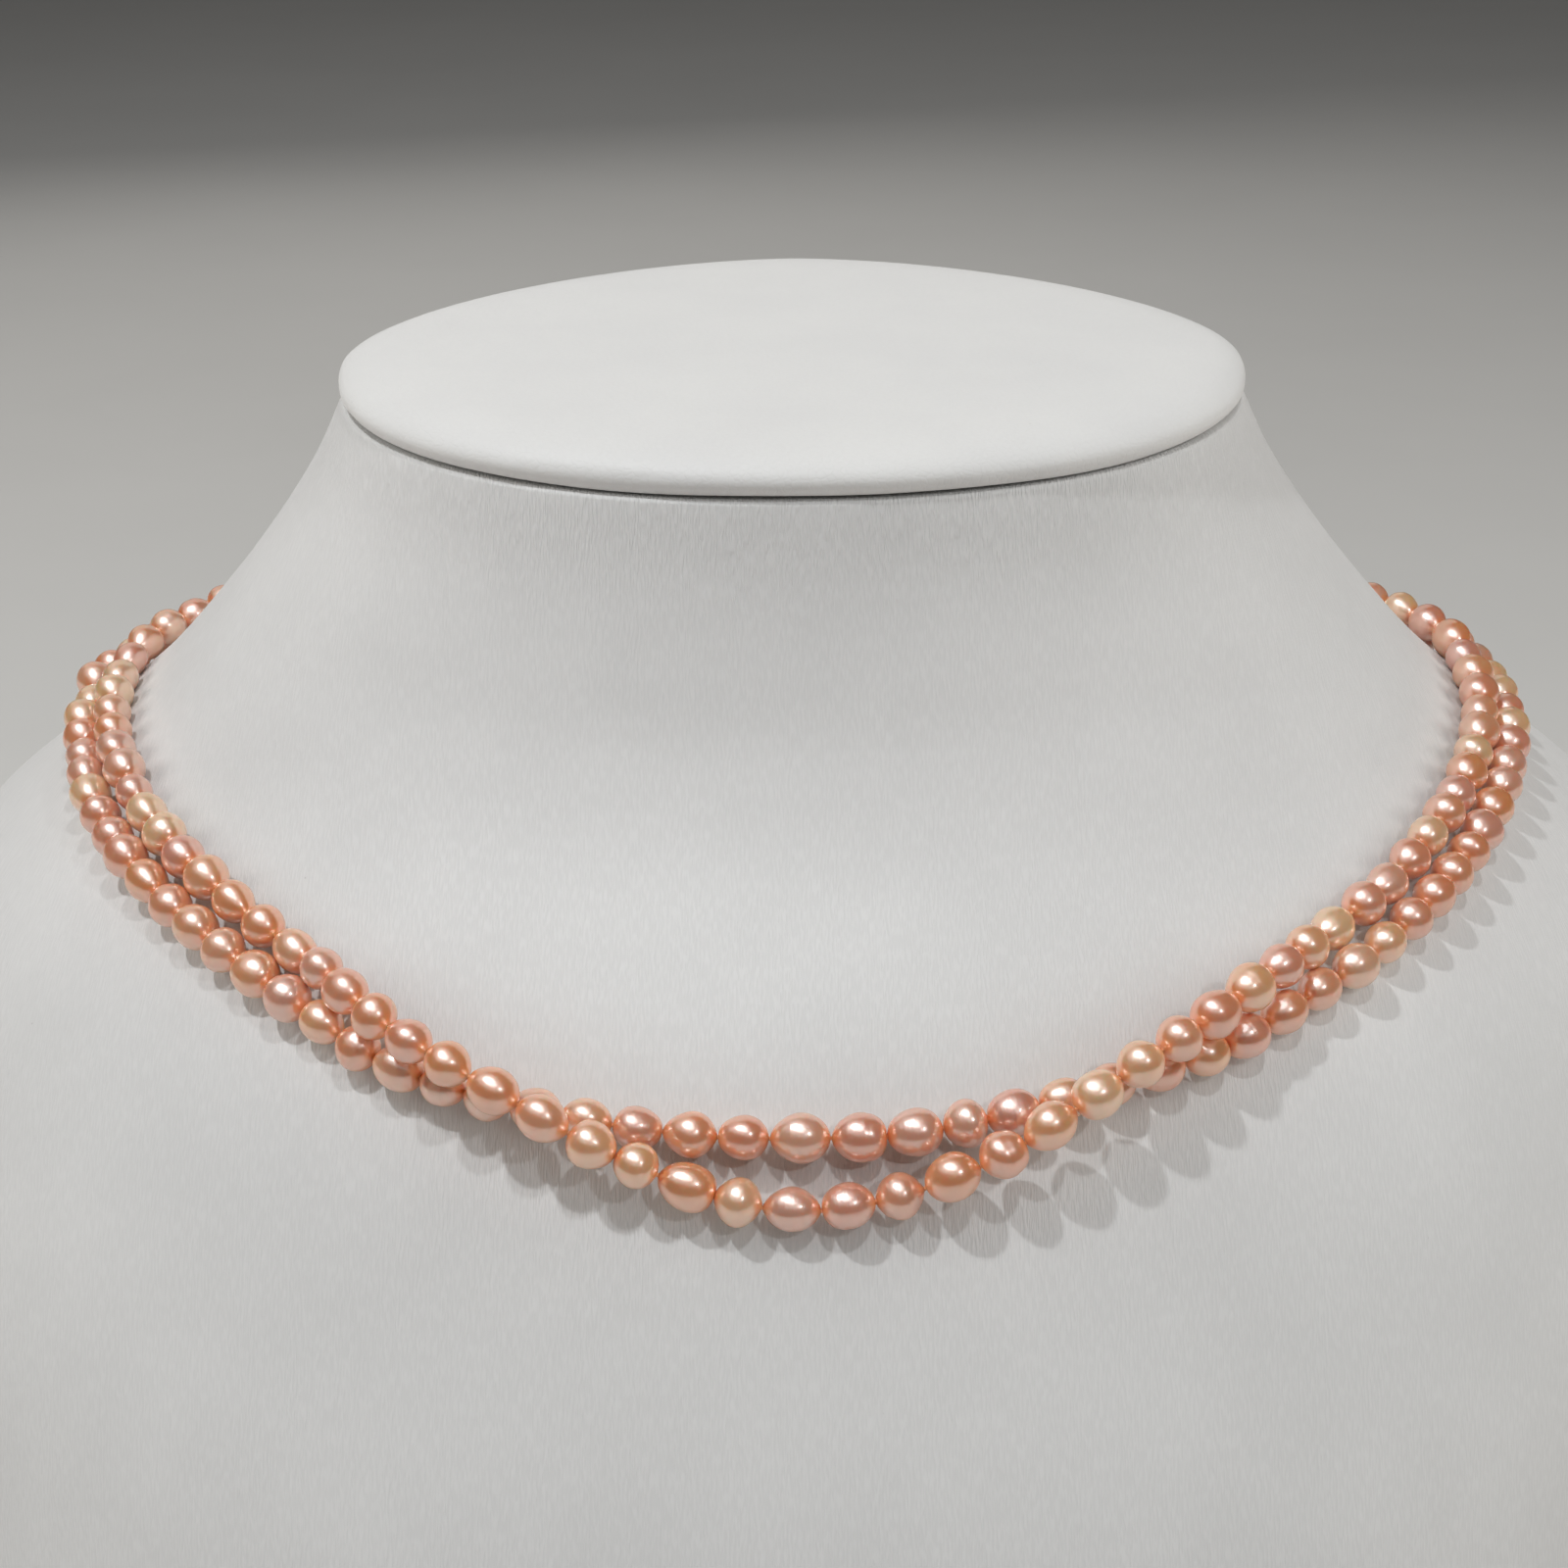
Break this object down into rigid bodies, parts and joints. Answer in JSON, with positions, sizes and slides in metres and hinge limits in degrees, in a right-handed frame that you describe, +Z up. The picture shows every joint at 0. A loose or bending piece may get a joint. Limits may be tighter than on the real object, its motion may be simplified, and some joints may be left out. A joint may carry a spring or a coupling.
{
  "type": "two-strand pearl necklace on a neck bust",
  "caption": "Short necklace of two crossing strands of small oval pearls, laid round a covered display bust with a padded oval top and a flat base.",
  "frame": {"origin": "the middle of the neck, on the bust's flat base", "axes": "+Z up, the bust faces -Y, +X to the right for someone who looks at its front"},
  "size_m": [0.214, 0.181, 0.155],
  "materials": {
    "bust_cover": "white leatherette with a fine upright woven grain, matt to satin",
    "cap_cover": "smooth white leatherette over thin padding, fine leather grain at its rounded edge",
    "pearl": "peach to pink nacre with a bright lustre, uneven from pearl to pearl",
    "clasp_metal": "polished silver-coloured metal"
  },
  "bodies": {
    "root": {"bust_form": "bust_cover", "bust_cap": "cap_cover", "inner_strand_1": "pearl", "inner_strand_2": "pearl", "inner_strand_3": "pearl", "inner_strand_4": "pearl", "inner_strand_5": "pearl", "inner_strand_6": "pearl", "outer_strand_1": "pearl", "outer_strand_2": "pearl", "outer_strand_3": "pearl", "outer_strand_4": "pearl", "outer_strand_5": "pearl", "outer_strand_6": "pearl", "clasp": "clasp_metal"}
  },
  "joints": []
}
